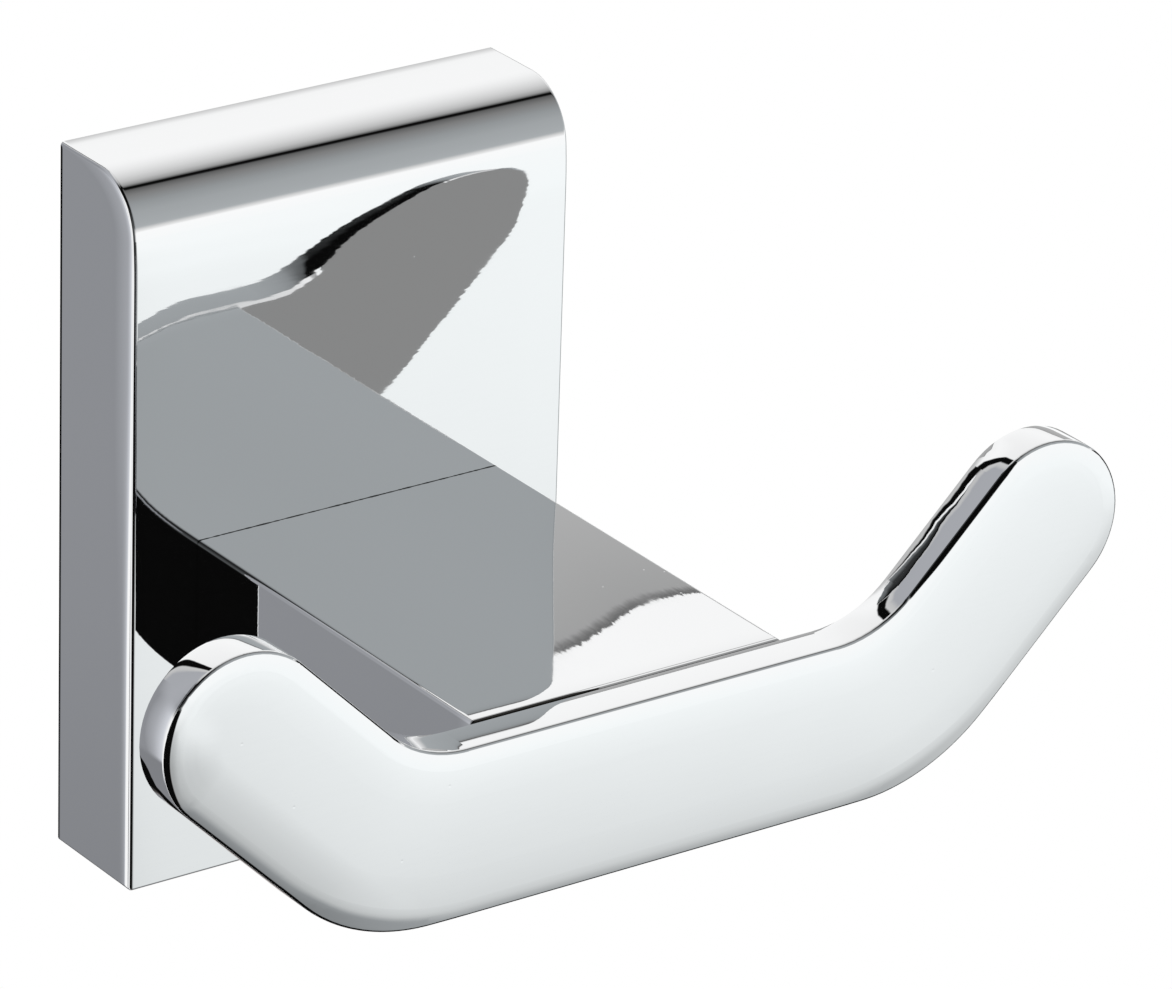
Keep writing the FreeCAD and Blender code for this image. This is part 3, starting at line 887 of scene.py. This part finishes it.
def stage_material(name, colour_of, seen_by):
    """A surface that shines in the colour given for one kind of ray and is clear for the rest."""
    material = bpy.data.materials.new(name)
    material.use_nodes = True
    tree = material.node_tree
    tree.nodes.clear()
    paths = tree.nodes.new("ShaderNodeLightPath")
    shine = tree.nodes.new("ShaderNodeEmission")
    colour_of(tree, shine.inputs["Color"])
    clear = tree.nodes.new("ShaderNodeBsdfTransparent")
    mix = tree.nodes.new("ShaderNodeMixShader")
    tree.links.new(paths.outputs[seen_by], mix.inputs[0])
    tree.links.new(clear.outputs[0], mix.inputs[1])
    tree.links.new(shine.outputs[0], mix.inputs[2])
    tree.links.new(mix.outputs[0], tree.nodes.new("ShaderNodeOutputMaterial").inputs["Surface"])
    return material


BOARD_PLACE = 0.020
BOARD_TOP = 0.0357
BOARD_LOW = 0.012
BOARD_LEFT = 0.040
BOARD_WIDTH = 0.25


def board_colour(tree, target):
    shade = ramp(tree, separate(tree, object_place(tree))[2], [
        (BOARD_LOW, mirrored(176)),
        (0.0220, mirrored(174)),
        (0.0300, mirrored(166)),
        (0.0346, mirrored(160)),
        (0.0351, mirrored(125)),
        (BOARD_TOP, mirrored(90)),
    ], BOARD_LOW, BOARD_TOP)
    tree.links.new(shade, target)


RIGHT = Vector((1, 0, 0))
UP = Vector((0, 0, 1))
INTO_WALL = Vector((0, 1, 0))
board = sheet(
    "board behind",
    Vector((BOARD_LEFT + BOARD_WIDTH / 2, BOARD_PLACE, (BOARD_TOP + BOARD_LOW) / 2)),
    RIGHT, UP, BOARD_WIDTH, BOARD_TOP - BOARD_LOW,
)
board.data.materials.append(stage_material("grey board", board_colour, "Is Glossy Ray"))

FLOOR_DROP = 0.20
FLOOR_WIDTH = 6.0
floor = sheet("floor", Vector((0, 0, -FLOOR_DROP)), RIGHT, INTO_WALL, FLOOR_WIDTH, FLOOR_WIDTH)


def floor_colour(tree, target):
    target.default_value = WHITE


floor.data.materials.append(stage_material("white floor", floor_colour, "Is Camera Ray"))

LAMP_POWER = 3.0
LAMP_SIZE = 0.6
LAMP_PLACE = (0.0, -0.3, 0.6)
LAMP_TILT = math.radians(26)
key = bpy.data.lights.new("ceiling light", "AREA")
key.energy = LAMP_POWER
key.size = LAMP_SIZE
key_lamp = bpy.data.objects.new("ceiling light", key)
key_lamp.location = LAMP_PLACE
key_lamp.rotation_euler = (LAMP_TILT, 0.0, 0.0)
key_lamp.visible_glossy = False
bpy.context.scene.collection.objects.link(key_lamp)


# Camera
# The photograph's own viewpoint: from the front left and above, a little turned about its axis.
ROSE_WIDTH = 0.044
ARM_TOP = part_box("arm")[1].z
CAMERA_AZIMUTH = math.radians(-35.71)
CAMERA_ELEVATION = math.radians(24.03)
CAMERA_ROLL = math.radians(1.88)
CAMERA_DISTANCE = 16.0 * ROSE_WIDTH
CAMERA_ACROSS = 0.6158 * ROSE_WIDTH
CAMERA_RISE = -0.0784 * ROSE_WIDTH
SENSOR_WIDTH = 36.0
FOCAL_PIXELS = 8080.9
PHOTO_WIDTH = 1172
FOCAL_LENGTH = SENSOR_WIDTH * FOCAL_PIXELS / PHOTO_WIDTH

backward = Vector((
    math.sin(CAMERA_AZIMUTH) * math.cos(CAMERA_ELEVATION),
    -math.cos(CAMERA_AZIMUTH) * math.cos(CAMERA_ELEVATION),
    math.sin(CAMERA_ELEVATION),
))
level = (-backward).cross(UP).normalized()
rise = level.cross(-backward)
across = math.cos(CAMERA_ROLL) * level + math.sin(CAMERA_ROLL) * rise
upright = math.cos(CAMERA_ROLL) * rise - math.sin(CAMERA_ROLL) * level
eye = backward * CAMERA_DISTANCE + across * CAMERA_ACROSS + upright * CAMERA_RISE + Vector((0, 0, ARM_TOP))

lens = bpy.data.cameras.new("camera")
lens.sensor_width = SENSOR_WIDTH
lens.lens = FOCAL_LENGTH
camera = bpy.data.objects.new("camera", lens)
camera.matrix_world = Matrix((
    (across.x, upright.x, backward.x, eye.x),
    (across.y, upright.y, backward.y, eye.y),
    (across.z, upright.z, backward.z, eye.z),
    (0, 0, 0, 1),
))
bpy.context.scene.collection.objects.link(camera)
bpy.context.scene.camera = camera
bpy.context.scene.view_settings.view_transform = "Standard"
